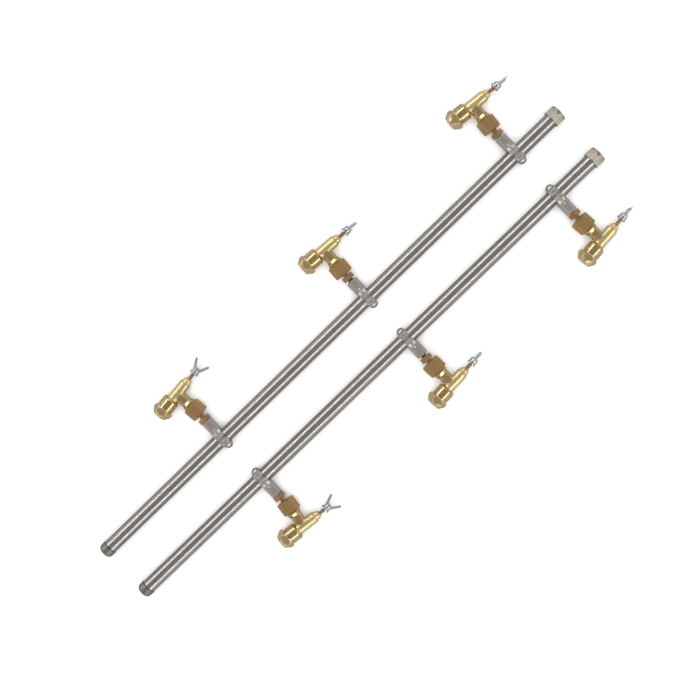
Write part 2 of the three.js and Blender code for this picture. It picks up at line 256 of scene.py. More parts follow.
def moved(shape, matrix):
    """The same shape, after a move or a turn."""
    bmesh.ops.transform(shape, verts=shape.verts, matrix=matrix)
    return shape


def sphere(radius):
    shape = bmesh.new()
    bmesh.ops.create_icosphere(shape, subdivisions=3, radius=radius)
    return shape


def rod(radius, start, end, sides=SIDES):
    """A cylinder along +X."""
    return turned([(start, 0), (start, radius), (end, radius), (end, 0)], sides=sides)


# ---- mesh work ----
def mesh_of(*shapes):
    """One mesh of one or more shapes, which are used up."""
    whole = bmesh.new()
    for shape in shapes:
        part = bpy.data.meshes.new("part")
        shape.to_mesh(part)
        shape.free()
        whole.from_mesh(part)
        bpy.data.meshes.remove(part)
    mesh = bpy.data.meshes.new("shape")
    whole.to_mesh(mesh)
    whole.free()
    return mesh


def changed(mesh, *modifiers):
    """The mesh after modifiers, each given as (type, {setting: value})."""
    thing = bpy.data.objects.new("work", mesh)
    bpy.context.scene.collection.objects.link(thing)
    for kind, settings in modifiers:
        modifier = thing.modifiers.new(kind.title(), kind)
        for name, value in settings.items():
            setattr(modifier, name, value)
    bpy.context.view_layer.update()
    evaluated = thing.evaluated_get(bpy.context.evaluated_depsgraph_get())
    result = bpy.data.meshes.new_from_object(evaluated)
    bpy.data.objects.remove(thing)
    return result


def cast(shapes, voxel, rounds):
    """Overlapping shapes melted into one casting with rounded edges and filleted corners."""
    return changed(
        mesh_of(*shapes),
        ("REMESH", {"mode": "VOXEL", "voxel_size": voxel}),
        ("SMOOTH", {"factor": 0.5, "iterations": rounds}),
        ("DECIMATE", {"ratio": 0.4}),
    )


def combined(mesh, shapes, operation):
    """The mesh after a boolean with each shape in turn."""
    for shape in shapes:
        tool = bpy.data.objects.new("tool", mesh_of(shape))
        bpy.context.scene.collection.objects.link(tool)
        settings = {"operation": operation, "object": tool, "solver": "EXACT"}
        mesh = changed(mesh, ("BOOLEAN", settings))
        bpy.data.objects.remove(tool)
    return mesh


# ---- materials ----
PATTERN_SHIFT = 400  # millimetres along each axis, by which chance moves a piece's pattern
PATCH_SCALE = 0.09  # of the large stains, to a millimetre
SPECK_SCALE = 0.8  # of the small ones
MIDDLE = (0.3, 0.7)  # the range that most of a noise lies in
SATIN_ROUGHNESS = 0.2  # added where a turned piece is slimmer than its satin radius
SATIN_FADE = 0.5  # millimetres to either side of that radius
COAT_ROUGHNESS = 0.2


def node(tree, kind, inputs=None, **settings):
    """A shader node whose inputs are linked where a socket is given, and set where a value is."""
    made = tree.nodes.new(f"ShaderNode{kind}")
    for name, value in settings.items():
        setattr(made, name, value)
    for name, value in (inputs or {}).items():
        if isinstance(value, bpy.types.NodeSocket):
            tree.links.new(value, made.inputs[name])
        else:
            made.inputs[name].default_value = value
    return made


def rgba(color):
    return (*color, 1)


def computed(tree, operation, a, b):
    """The result of a sum or a product."""
    return node(tree, "Math", {0: a, 1: b}, operation=operation).outputs[0]


def mean(tree, a, b):
    return computed(tree, "MULTIPLY", computed(tree, "ADD", a, b), 0.5)


def mapped(tree, value, from_range, to_range):
    """The value with one range stretched on to another."""
    inputs = {"Value": value, "From Min": from_range[0], "From Max": from_range[1]}
    inputs.update({"To Min": to_range[0], "To Max": to_range[1]})
    return node(tree, "MapRange", inputs).outputs["Result"]


def own_millimetres(tree):
    """Places on the piece in millimetres."""
    place = node(tree, "TexCoord").outputs["Object"]
    return node(tree, "VectorMath", {0: place, "Scale": 1 / MM}, operation="SCALE").outputs[0]


def shifted_millimetres(tree):
    """The same, shifted so that no two pieces look the same."""
    place = own_millimetres(tree)
    chance = node(tree, "ObjectInfo").outputs["Random"]
    shift = computed(tree, "MULTIPLY", chance, PATTERN_SHIFT)
    return node(tree, "VectorMath", {0: place, 1: shift}, operation="ADD").outputs[0]


def noise(tree, place, scale, detail, roughness):
    inputs = {"Vector": place, "Scale": scale, "Detail": detail, "Roughness": roughness}
    return node(tree, "TexNoise", inputs).outputs["Fac"]


def turned_radius(tree, parts):
    """Distance from the piece's own X axis, by the parts of the place."""
    across = node(tree, "CombineXYZ", {"Y": parts.outputs["Y"], "Z": parts.outputs["Z"]})
    return node(tree, "VectorMath", {0: across.outputs[0]}, operation="LENGTH").outputs["Value"]


def wide_part(tree, radius):
    """1 where a turned piece is wider than this radius, and 0 where it is slimmer."""
    parts = node(tree, "SeparateXYZ", {"Vector": own_millimetres(tree)})
    fade = (radius - SATIN_FADE, radius + SATIN_FADE)
    return mapped(tree, turned_radius(tree, parts), fade, (0, 1))


def grain(tree, style):
    """Height of the fine surface marks: turned rings, drawn streaks or cast pits."""
    place = own_millimetres(tree)
    if style == "turned":
        parts = node(tree, "SeparateXYZ", {"Vector": place})
        rings = node(tree, "CombineXYZ", {"X": parts.outputs["X"], "Y": turned_radius(tree, parts)})
        return noise(tree, rings.outputs[0], scale=3.2, detail=4, roughness=0.6)
    if style == "drawn":
        streaks = node(tree, "Mapping", {"Vector": place, "Scale": (0.03, 2.4, 2.4)})
        return noise(tree, streaks.outputs[0], scale=1, detail=5, roughness=0.65)
    return noise(tree, place, scale=1.6, detail=5, roughness=0.6)


def metal(name, color, stain, roughness, style, depth, edge=None, coat=0, satin=0):
    """A bare metal with patches of stain, uneven gloss, and fine marks of how it was made, whose
    depth is in millimetres. With a satin radius, a turned piece is less stained and duller where
    it is slimmer than that."""
    material = bpy.data.materials.new(name)
    material.use_nodes = True
    tree = material.node_tree
    shader = tree.nodes["Principled BSDF"]
    place = shifted_millimetres(tree)
    marks = grain(tree, style)
    patches = noise(tree, place, PATCH_SCALE, detail=4, roughness=0.6)
    specks = noise(tree, place, SPECK_SCALE, detail=3, roughness=0.6)
    share = mapped(tree, mean(tree, patches, specks), MIDDLE, (0, 1))
    rough = mapped(tree, mean(tree, marks, specks), MIDDLE, roughness)
    if satin:
        wide = wide_part(tree, satin)
        share = mean(tree, share, wide)
        rough = computed(tree, "ADD", rough, mapped(tree, wide, (0, 1), (SATIN_ROUGHNESS, 0)))
    colors = {6: rgba(color), 7: rgba(stain)}  # the places of a color mix's two inputs
    tint = node(tree, "Mix", {0: share, **colors}, data_type="RGBA")
    bump = node(tree, "Bump", {"Height": marks, "Distance": depth * MM, "Strength": 1.0})
    tree.links.new(tint.outputs[2], shader.inputs["Base Color"])
    tree.links.new(rough, shader.inputs["Roughness"])
    tree.links.new(bump.outputs[0], shader.inputs["Normal"])
    shader.inputs["Metallic"].default_value = 1
    shader.inputs["Coat Weight"].default_value = coat
    shader.inputs["Coat Roughness"].default_value = COAT_ROUGHNESS
    if edge:
        shader.inputs["Specular Tint"].default_value = rgba(edge)
    return material


METALS = {
    "drawn_stainless": {
        "color": (0.36, 0.345, 0.325), "stain": (0.29, 0.272, 0.25), "edge": (0.6, 0.6, 0.6),
        "roughness": (0.24, 0.36), "style": "drawn", "depth": 0.009,
    },
    "cast_stainless": {
        "color": (0.49, 0.475, 0.44), "stain": (0.37, 0.35, 0.315),
        "roughness": (0.3, 0.5), "style": "cast", "depth": 0.07,
    },
    "dull_steel": {
        "color": (0.245, 0.235, 0.22), "stain": (0.165, 0.155, 0.14),
        "roughness": (0.42, 0.56), "style": "cast", "depth": 0.04,
    },
    "pale_steel": {
        "color": (0.37, 0.345, 0.3), "stain": (0.25, 0.22, 0.175),
        "roughness": (0.4, 0.56), "style": "cast", "depth": 0.05,
    },
    "screw_steel": {
        "color": (0.42, 0.41, 0.4), "stain": (0.3, 0.29, 0.275),
        "roughness": (0.18, 0.3), "style": "turned", "depth": 0.02,
    },
    "red_brass": {
        "color": (0.52, 0.33, 0.17), "stain": (0.38, 0.2, 0.09), "coat": 0.5,
        "roughness": (0.2, 0.34), "style": "turned", "depth": 0.03,
    },
    "dull_brass": {
        "color": (0.5, 0.31, 0.14), "stain": (0.4, 0.245, 0.105),
        "roughness": (0.34, 0.5), "style": "cast", "depth": 0.03,
    },
    "bright_brass": {
        "color": (0.72, 0.59, 0.29), "stain": (0.44, 0.28, 0.11), "coat": 0.7, "satin": 9.4,
        "roughness": (0.14, 0.25), "style": "turned", "depth": 0.016,
    },
    "pale_brass": {
        "color": (0.7, 0.53, 0.29), "stain": (0.58, 0.41, 0.2), "coat": 0.5,
        "roughness": (0.16, 0.28), "style": "turned", "depth": 0.016,
    },
    "zinc_plate": {
        "color": (0.5, 0.52, 0.53), "stain": (0.3, 0.33, 0.345),
        "roughness": (0.25, 0.4), "style": "cast", "depth": 0.05,
    },
}
MATERIALS = {name: metal(name, **look) for name, look in METALS.items()}


# ---- pieces of a rail, about the pipe's axis ----
PIPE_WALL = 2.1
PIPE_CHAMFER = 0.4
CAP_CROWN = 1.4  # how far the cap's end bulges from the flat one in the CAD
CAP_EDGE = 6.2  # radius of its rounded edge
SKIRT_CHAMFER = 0.4
PLUG_CHAMFER = 0.6  # of the cap's plug, inside the pipe
COUPLING_CHAMFER = 1.4  # depth of the coupling's short chamfer, at a corner
COUPLING_TIP = (2.6, 6.5)  # depth and length of its long one
SOCKET_RADIUS = 9.3  # of its open end
SOCKET_CHAMFER = 1.1
PIPE_THREAD = {"depth": 0.7, "pitch": 1.8}  # half-inch pipe thread


def pipe_mesh(lo, hi):
    """A plain tube with chamfered ends."""
    bore = hi.z - PIPE_WALL
    edge = hi.z - PIPE_CHAMFER
    rings = [(lo.x, edge), (lo.x + PIPE_CHAMFER, hi.z), (hi.x - PIPE_CHAMFER, hi.z), (hi.x, edge)]
    return mesh_of(turned(rings + [(hi.x, bore), (lo.x, bore)], closed=True, sides=FINE_SIDES))


def end_cap_mesh(lo, hi, pipe_start, pipe_radius):
    """A round cap with a domed end, a short skirt, and a plug inside the pipe."""
    steps = 6
    radius = hi.z
    flat_end = radius - CAP_EDGE
    skirt_end = pipe_start - GAP
    plug = pipe_radius - PIPE_WALL - GAP
    rings = []
    for step in range(steps):
        share = step / steps
        rings.append((lo.x - CAP_CROWN + CAP_CROWN * share**2, flat_end * share))
    rings += arc(lo.x + CAP_EDGE, flat_end, CAP_EDGE, 180, 90)
    rings += [(skirt_end - SKIRT_CHAMFER, radius), (skirt_end, radius - SKIRT_CHAMFER)]
    rings += [(skirt_end, plug), (hi.x - PLUG_CHAMFER, plug), (hi.x, plug - PLUG_CHAMFER), (hi.x, 0)]
    return mesh_of(turned(rings))


def coupling_mesh(lo, hi, pipe_end, pipe_radius):
    """A hexagonal sleeve over the pipe's end, with a threaded socket on the other side."""
    tip_depth, tip_length = COUPLING_TIP
    seat = pipe_radius + GAP
    shoulder = pipe_end + GAP
    tip = (hi.z - tip_depth, tip_length)
    rings = hex_head(lo.x, hi.x, hi.z, hi.z - COUPLING_CHAMFER, tip=tip)
    rings += [(hi.x, SOCKET_RADIUS + SOCKET_CHAMFER)]
    rings += thread(pipe_end + 0.8, hi.x - SOCKET_CHAMFER, SOCKET_RADIUS, **PIPE_THREAD)[::-1]
    rings += [(shoulder, SOCKET_RADIUS), (shoulder, seat), (lo.x, seat)]
    return mesh_of(turned(rings, closed=True))


# ---- clamp, about the branch's axis: the pipe lies along its Y, the leg along its +X ----
SPLIT = 2.0  # width of the slit between the halves, over its broken edges
FOOT_DEPTH = 6.8  # of a half's foot, along the branch
PAD_DEPTH = 6.0  # of the pad on top
PAD_FLAT = 4.4  # depth of its level part
PAD_SHOULDER = 2.4  # height of its rounding
LEG_THREAD = 5.1  # radius of the leg's threaded hole
LEG_SOCKET = 12  # and its depth
LEG_SWELL = (11, 14.5)  # where the leg grows to its full radius
PIP = {"along": 16.3, "radius": 2.2, "sunk": 1.5}  # the cast mark on top of the leg
TONGUES = ((-13.4, -12.2), (12.3, 13.5))  # heights of the hooks that join the two halves
TONGUE_HALF = 2.7  # half their width
TONGUE_REACH = 5
STRAP_BOSS = 6.5  # radius, round its screw
SCREW_RADIUS = 3.5
SCREW_THREAD = {"depth": 0.3, "pitch": 0.8}
HEAD_CENTRE = -11.3  # of the clamp screw's ball-shaped head
HEAD_RADIUS = 6.8
PIN_HOLE = 1.5  # radius of the pin holes beside the pads
PIN_PLACES = {1: 9.1, -1: -7.6}  # along the branch, in the leg's half and in the strap
CLAMP_CAST = {"voxel": 0.42, "rounds": 5}


def clamp_sizes(name):
    """The clamp's sizes, measured on its CAD nodes."""
    place = branch_place(name)
    strap_lo, strap_hi = extent(f"{name}_clamp_strap", place)
    saddle_hi = extent(f"{name}_clamp_saddle", place)[1]
    pipe_hi = extent(f"rail_{name[0]}_pipe", rail_place(name[0]))[1]
    return {
        "width": strap_hi.y,
        "radius": -strap_lo.x,
        "foot": strap_lo.z,
        "pad": strap_hi.z,
        "leg": saddle_hi.y,
        "leg_end": saddle_hi.x,
        "pipe": pipe_hi.z,
    }


def clamp_half(c, side):
    """The shapes common to both halves, on the leg's side (1) or the strap's (-1)."""
    width, inner = c["width"], side * SPLIT / 2
    ring = moved(rod(c["radius"], -width, width), ALONG_Y)
    shoulder = c["pad"] - PAD_SHOULDER
    pad = hull(
        [(inner, y, z) for y in (-width, width) for z in (0, shoulder + 1.2)]
        + [(inner, y, c["pad"]) for y in (-width + 1.6, width - 1.6)]
        + [(side * PAD_FLAT, y, c["pad"]) for y in (-width + 2.4, width - 2.4)]
        + [(side * (PAD_DEPTH + 1), y, shoulder - 1) for y in (-width + 1, width - 1)]
        + [(side * PAD_DEPTH, y, 0) for y in (-width, width)]
    )
    stand = hull(
        [(x, y, z) for x in (inner, side * FOOT_DEPTH) for y in (-width, width)
         for z in (c["foot"], 0)]
    )
    return [ring, pad, stand]


def clamp_cuts(c, side):
    """What is machined off a half: the slit's face, the pipe's seat and the pin hole."""
    reach = c["leg_end"] * 2
    beyond = sorted((side * SPLIT / 2, -side * reach))
    pin = PIN_PLACES[side]
    top = math.sqrt(c["radius"] ** 2 - pin**2)
    return [
        block((beyond[0], -reach, -reach), (beyond[1], reach, reach)),
        moved(rod(c["pipe"] + GAP, -reach, reach, FINE_SIDES), ALONG_Y),
        moved(sphere(PIN_HOLE), Matrix.Translation((pin, 0, top + 0.2))),
    ]


def saddle_mesh(c):
    """The leg's half: a ring with a pad and a foot, a web, and a neck that is the leg."""
    leg, end, width = c["leg"], c["leg_end"], c["width"]
    slim_end, full_start = LEG_SWELL
    neck = turned(
        [(0, 0), (0, leg - 0.5), (slim_end, leg - 0.5), (full_start, leg), (end - 0.9, leg),
         (end, leg - 0.9), (end, 0)]
    )
    web = hull(
        [(5, y, 10.5) for y in (-width + 0.5, width - 0.5)]
        + [(5, y, 0) for y in (-width, width)]
        + disc((15, 0, 0), leg - 0.4)
    )
    pip = moved(sphere(PIP["radius"]), Matrix.Translation((PIP["along"], 0, leg - PIP["sunk"])))
    body = cast(clamp_half(c, 1) + [neck, web, pip], **CLAMP_CAST)
    cuts = clamp_cuts(c, 1) + [rod(LEG_THREAD, end - LEG_SOCKET, end + 1)]
    for low, high in TONGUES:
        cuts.append(
            block((-1, -TONGUE_HALF - GAP, low - GAP),
                  (TONGUE_REACH + GAP, TONGUE_HALF + GAP, high + GAP))
        )
    return combined(body, cuts, "DIFFERENCE")


def strap_mesh(c):
    """The other half, with its screw's boss and the tongues that hook into the leg's half."""
    boss = rod(STRAP_BOSS, -c["radius"], -SPLIT)
    cuts = clamp_cuts(c, -1) + [rod(SCREW_RADIUS + GAP, -c["radius"] - 1, 0)]
    body = combined(cast(clamp_half(c, -1) + [boss], **CLAMP_CAST), cuts, "DIFFERENCE")
    tongues = [
        block((-SPLIT, -TONGUE_HALF, low), (TONGUE_REACH, TONGUE_HALF, high))
        for low, high in TONGUES
    ]
    return combined(body, tongues, "UNION")


def screw_mesh(c):
    """A ball-shaped head outside the strap, and a thread down to the pipe."""
    base = -c["radius"] - GAP
    end = -c["pipe"] - GAP
    widest = math.degrees(math.acos((base - HEAD_CENTRE) / HEAD_RADIUS))
    head = arc(HEAD_CENTRE, 0, HEAD_RADIUS, 180, widest, 14)
    rings = [(head[0][0], 0)] + head[1:]
    rings += [(base, SCREW_RADIUS)]
    rings += thread(base + 0.2, end - 0.3, SCREW_RADIUS, **SCREW_THREAD)
    rings += [(end, SCREW_RADIUS - 0.4), (end, 0)]
    return mesh_of(turned(rings))


# ---- ball fitting, about the branch's axis ----
BALL_RADIUS = 9.5
BALL_SEAT = 10.1  # radius of the hollows that the ball turns in
BALL_NECK = 4.4
PASSAGE_RADIUS = 2.6  # of the way through the ball and into the valve
NIPPLE_THREAD = {"crest": LEG_THREAD - GAP, "depth": 0.6, "pitch": 1.2}
NUT_LIP = 7.7  # radius of the hole that the ball's neck comes out of
NUT_MOUTH = 9.2


def nipple_mesh(name):
    """A threaded end, a hexagon, and a neck that ends in the ball."""
    place = branch_place(name)
    node_name = f"{name}_ball_nipple"
    lo, hi = extent(node_name, place)
    ball_at = (Vector(JOINTS[f"{name}_tilt"]["pos_m"]) - place.translation).length / MM
    wide = [p.x for p in points_of(node_name, place) if math.hypot(p.y, p.z) > BALL_RADIUS + GAP]
    start, end, corner = min(wide), max(wide), hi.z
    thread_start = lo.x + 0.7
    relief = LEG_THREAD - 0.8
    rings = [(lo.x, PASSAGE_RADIUS), (lo.x, LEG_THREAD - 1), (thread_start, NIPPLE_THREAD["crest"])]
    rings += thread(thread_start, start - 0.6, **NIPPLE_THREAD)
    rings += [(start - 0.5, relief), (start, relief)]
    rings += hex_head(start, end, corner, corner - 1.1)
    rings += [(end, BALL_NECK + 0.7), (end + 0.7, BALL_NECK)]
    neck_angle = 180 - math.degrees(math.asin(BALL_NECK / BALL_RADIUS))
    end_angle = math.degrees(math.acos((hi.x - ball_at) / BALL_RADIUS))
    rings += arc(ball_at, 0, BALL_RADIUS, neck_angle, end_angle, 18)
    rings += [(hi.x, PASSAGE_RADIUS + 0.6), (hi.x - 0.6, PASSAGE_RADIUS)]
    return mesh_of(turned(rings, closed=True))


def nut_mesh(lo, hi):
    """A hexagonal nut round the ball's centre, with a hollow that the ball is held in."""
    corner = hi.y
    lip_angle = math.asin(NUT_LIP / BALL_SEAT)
    rings = hex_head(lo.x, hi.x, corner, corner - 1.9, flat_up=True)
    rings += [(hi.x, BALL_SEAT + 0.5), (hi.x - 0.5, BALL_SEAT)]
    rings += arc(0, 0, BALL_SEAT, 90, 180 - math.degrees(lip_angle), 8)
    rings += [(-BALL_SEAT * math.cos(lip_angle) - 0.5, NUT_LIP), (lo.x, NUT_MOUTH)]
    return mesh_of(turned(rings, closed=True))


# ---- valve, about its own axis, with its inlet at -Y ----
BALL_DISTANCE = 37.4  # from the ball's centre to the valve's axis
SPIGOT_RADIUS = 8  # of the end that the jet cap screws on to
BARREL = {"start": -25.1, "end": -9.1, "radius": 12.55}
BONNET = {"radius": 8.4, "end": 20.6}
CHAMBER = {"radius": 5, "end": 10}  # of the hollow round the needle, open to the jet
STEM_RADIUS = 2.95
STEM_THREAD = {"start": 20.5, "depth": 0.42, "pitch": 1}
INLET = {"core": 9.4, "collar": 10.4, "tube": 8.75, "neck": 8.2}  # radii, from the nut inwards
PACKING_NUT = {"bore": 3.3, "radius": 7.8, "gland": 6.1}  # radii
JET_CAP = {"face": 10.4, "corner": 15.2, "flat": 13.2, "skirt": 12.2, "jet": 1.1}  # radii
WING = {"angle": 27, "half_width": 2.15, "half_thick": 1.7}  # the angle is off the axis
WING_BOSS = {"end": 48.9, "radius": 6.65}


def body_mesh(lo):
    """A forged tee with a turned barrel, bonnet and inlet, which meet at a sharp V."""
    start, end, radius = BARREL["start"], BARREL["end"], BARREL["radius"]
    bonnet, bonnet_end = BONNET["radius"], BONNET["end"]
    core, collar, tube, neck = INLET.values()
    run = straight(
        [(lo.x, 0), (lo.x, SPIGOT_RADIUS - 0.5), (lo.x + 0.5, SPIGOT_RADIUS),
         (start, SPIGOT_RADIUS), (start, radius - 0.5), (start + 0.5, radius),
         (end - 3.8, radius), (end - 3.2, radius - 0.5), (end - 2.4, radius - 0.7),
         (end, bonnet + 0.4), (end + 0.8, bonnet), (bonnet_end - 0.7, bonnet),
         (bonnet_end, bonnet - 0.7), (bonnet_end, 0)]
    )
    from_ball = [(5, 0), (5, core), (12.1, core), (12.1, collar - 0.4), (12.5, collar),
                 (14.6, collar), (18.5, tube)]
    inlet = straight(
        [(along - BALL_DISTANCE, size) for along, size in from_ball]
        + [(-12, tube), (-6, neck), (0, neck), (0, 0)]
    )
    mesh = combined(mesh_of(run), [moved(inlet, ALONG_Y)], "UNION")
    hollow = turned([(-BALL_SEAT, 0)] + arc(0, 0, BALL_SEAT, 170, 10, 16) + [(BALL_SEAT, 0)])
    seat = moved(hollow, Matrix.Translation((0, -BALL_DISTANCE, 0)))
    passage = moved(rod(PASSAGE_RADIUS, -BALL_DISTANCE, 0), ALONG_Y)
    chamber = rod(CHAMBER["radius"], lo.x - 1, CHAMBER["end"])
    gland = rod(STEM_RADIUS + GAP, 0, bonnet_end + 1)
    return combined(mesh, [seat, passage, chamber, gland], "DIFFERENCE")


def packing_nut_mesh(hi):
    """A low cone against the bonnet and a narrow gland, which ends with the valve body."""
    start = BONNET["end"]
    bore, radius, gland = PACKING_NUT.values()
    rings = [(start + 0.1, bore), (start + 0.1, radius - 0.2), (start + 0.5, radius)]
    rings += [(start + 2.8, gland + 0.3), (start + 3.2, gland), (hi.x - 2.6, gland)]
    rings += [(hi.x - 2.0, gland - 0.6), (hi.x, gland - 1.8), (hi.x, bore)]
    return mesh_of(turned(rings, closed=True))


def jet_cap_mesh(lo, hi):
    """A hexagon with a long chamfer towards the jet's face and a short one behind."""
    face, corner, flat, skirt, jet = JET_CAP.values()
    near, far = lo.x + 8, lo.x + 11  # where the corners are widest
    chamber_wall, spigot_end = lo.x + 5.4, lo.x + 10.1
    bore = SPIGOT_RADIUS + GAP
    reach = hexagon(flat, flat_up=True)

    def side(angle):
        return min(corner, reach(angle))

    def chamfer(angle):
        return near - (corner - side(angle)) / (corner - face) * (near - lo.x), side(angle)

    def back(angle):
        return far + (corner - side(angle)) * 1.2, side(angle)

    rings = [(lo.x + 1.3, jet), (lo.x + 1.3, jet + 0.5), (lo.x, jet + 2.3), (lo.x, face - 0.8)]
    rings += arc(lo.x + 0.8, face - 0.8, 0.8, 180, 120, 3)
    rings += [chamfer, back, (hi.x - 1.8, skirt + 0.3), (hi.x - 1.4, skirt), (hi.x - 0.4, skirt)]
    rings += [(hi.x, skirt - 0.4), (hi.x, bore), (spigot_end, bore), (spigot_end, CHAMBER["radius"])]
    rings += [(chamber_wall, CHAMBER["radius"]), (chamber_wall, jet)]
    return mesh_of(turned(rings, closed=True))


def stem_mesh(lo, hi):
    """A rod with a long needle at one end and the wing nut's thread at the other."""
    slim = STEM_RADIUS - 0.4
    start, depth, pitch = STEM_THREAD.values()
    rings = [(lo.x, 0), (lo.x, 0.5), (-22, slim), (start - 0.5, slim)]
    rings += thread(start, hi.x - 0.6, STEM_RADIUS, depth, pitch)
    rings += [(hi.x, STEM_RADIUS - 0.6), (hi.x, 0)]
    return mesh_of(turned(rings, sides=SIDES // 2))


def wing_mesh(lo, hi):
    """A cast wing nut: flange, waist and boss, with two wings in a V."""
    start, end, radius = lo.x, WING_BOSS["end"], WING_BOSS["radius"]
    half_width, half_thick = WING["half_width"], WING["half_thick"]
    slope = math.tan(math.radians(WING["angle"]))
    hub = turned(
        [(start, 0), (start, radius - 0.4), (start + 0.4, radius), (start + 2.4, radius),
         (start + 3.4, radius - 1.6), (start + 5, radius - 1.2), (start + 7.6, radius - 1),
         (end - 1, radius - 2.4), (end, radius - 3.6), (end, 0)]
    )
    shapes = [hub]
    for side in (1, -1):
        root = Vector((end - 6.5, side * 2.2, 0))
        tip_x = hi.x - half_width
        tip = Vector((tip_x, root.y + side * (tip_x - root.x) * slope, 0))
        points = []
        for centre in (root, tip):
            for tilt in (-60, -30, 0, 30, 60):
                width = half_width * math.cos(math.radians(tilt))
                lift = half_thick * math.sin(math.radians(tilt))
                points += disc(centre + Vector((0, 0, lift)), width, "Z")
        shapes.append(hull(points))
    body = cast(shapes, voxel=0.28, rounds=4)
    return combined(body, [rod(STEM_RADIUS + GAP, start - 1, start + 2.3)], "DIFFERENCE")


# ---- assembly ----
SHARP_ANGLE = 40  # degrees; a sharper edge isn't shaded smooth
BEVEL_ANGLE = 28  # degrees; a sharper edge is bevelled
BEVEL = 0.25  # width of a piece's bevels
# The castings, the slender stem, and the body with its own rings along the edges.
UNBEVELLED = {"clamp_saddle", "clamp_strap", "wing_nut", "needle_stem", "valve_body"}
LOOKS = {  # where a piece's look isn't the one that its slot is named after
    "pipe": "drawn_stainless",
    "end_cap": "dull_steel",
    "inlet_coupling": "pale_steel",
    "jet_cap": "pale_brass",
}


def piece(name, mesh, place, body, slot, stands_for=None, bevel=BEVEL):
    """A piece on the frame that rides on a body and, where one is named, stands for a CAD node."""
    thing = bpy.data.objects.new(name, mesh)
    bpy.context.scene.collection.objects.link(thing)
    thing.matrix_world = place
    if bevel:
        edges = thing.modifiers.new("Edges", "BEVEL")
        edges.width, edges.segments = bevel * MM, 2
        edges.limit_method, edges.angle_limit = "ANGLE", math.radians(BEVEL_ANGLE)
    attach(thing, body)
    if stands_for:
        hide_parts(stands_for)
    return thing


def finished(mesh, kind, slot):
    """The mesh in metres, smooth except at its sharp edges, with the look of its kind."""
    mesh.transform(Matrix.Diagonal((MM, MM, MM, 1)))
    mesh.shade_smooth()
    mesh.set_sharp_from_angle(angle=math.radians(SHARP_ANGLE))
    mesh.materials.clear()
    mesh.materials.append(MATERIALS[LOOKS.get(kind, slot)])
    return mesh


def add_rail(rail):
    place = rail_place(rail)
    pipe_lo, pipe_hi = extent(f"rail_{rail}_pipe", place)
    cap_lo, cap_hi = extent(f"rail_{rail}_end_cap", place)
    hex_lo, hex_hi = extent(f"rail_{rail}_inlet_coupling", place)
    made = {
        "pipe": (pipe_mesh(pipe_lo, pipe_hi), "stainless_tube"),
        "end_cap": (end_cap_mesh(cap_lo, cap_hi, pipe_lo.x, pipe_hi.z), "stainless_tube"),
        "inlet_coupling": (coupling_mesh(hex_lo, hex_hi, pipe_hi.x, pipe_hi.z), "cast_stainless"),
    }
    for kind, (mesh, slot) in made.items():
        name = f"rail_{rail}_{kind}"
        piece(f"{name}_look", finished(mesh, kind, slot), place, f"rail_{rail}", slot, name)


def take_off_meshes(name):
    """The meshes that all six take-offs share, measured on the first one's CAD nodes."""
    clamp = clamp_sizes(name)
    body_lo, body_hi = extent(f"{name}_valve_body", valve_place(name))
    made = {
        "clamp_saddle": (saddle_mesh(clamp), "cast_stainless"),
        "clamp_strap": (strap_mesh(clamp), "cast_stainless"),
        "clamp_screw": (screw_mesh(clamp), "screw_steel"),
        "ball_nut": (nut_mesh(*extent(f"{name}_ball_nut", inlet_place(name))), "dull_brass"),
        "valve_body": (body_mesh(body_lo), "bright_brass"),
        "packing_nut": (packing_nut_mesh(body_hi), "bright_brass"),
        "jet_cap": (jet_cap_mesh(*extent(f"{name}_jet_cap", valve_place(name))), "bright_brass"),
        "needle_stem": (stem_mesh(*extent(f"{name}_needle_stem", valve_place(name))), "red_brass"),
        "wing_nut": (wing_mesh(*extent(f"{name}_wing_nut", wing_place(name))), "zinc_plate"),
    }
    return {kind: (finished(mesh, kind, slot), slot) for kind, (mesh, slot) in made.items()}


def add_take_off(name, meshes):
    rail = f"rail_{name[0]}"
    clamp, inlet, valve = branch_place(name), inlet_place(name), valve_place(name)
    rides = {
        "clamp_saddle": (clamp, rail),
        "clamp_strap": (clamp, rail),
        "clamp_screw": (clamp, rail),
        "ball_nut": (inlet, f"{name}_valve"),
        "valve_body": (valve, f"{name}_valve"),
        "packing_nut": (valve, f"{name}_valve"),
        "jet_cap": (valve, f"{name}_valve"),
        "needle_stem": (valve, f"{name}_stem"),
        "wing_nut": (wing_place(name), f"{name}_wing"),
    }
    for kind, (place, body) in rides.items():
        mesh, slot = meshes[kind]
        stands_for = None if kind == "packing_nut" else f"{name}_{kind}"
        bevel = 0 if kind in UNBEVELLED else BEVEL
        piece(f"{name}_{kind}_look", mesh, place, body, slot, stands_for, bevel)
    nipple = finished(nipple_mesh(name), "ball_nipple", "red_brass")
    node_name = f"{name}_ball_nipple"
    piece(f"{node_name}_look", nipple, clamp, f"{name}_ball", "red_brass", node_name)


for rail in RAILS:
    add_rail(rail)
SHARED = take_off_meshes(TAKE_OFFS[0])
for take_off in TAKE_OFFS:
    add_take_off(take_off, SHARED)

# ---- floor, light and camera ----
# Lengths are in metres from here on, and powers in watts.
STUDIO = 6.0  # length of the studio floor
STRIP = {"size": (4.2, 0.36), "power": 30}
STRIP_DISTANCE = 2.0
STRIP_ELEVATION = math.radians(40)
WASH = {"size": (4, 4), "power": 118}
WASH_HEIGHT = 2.6


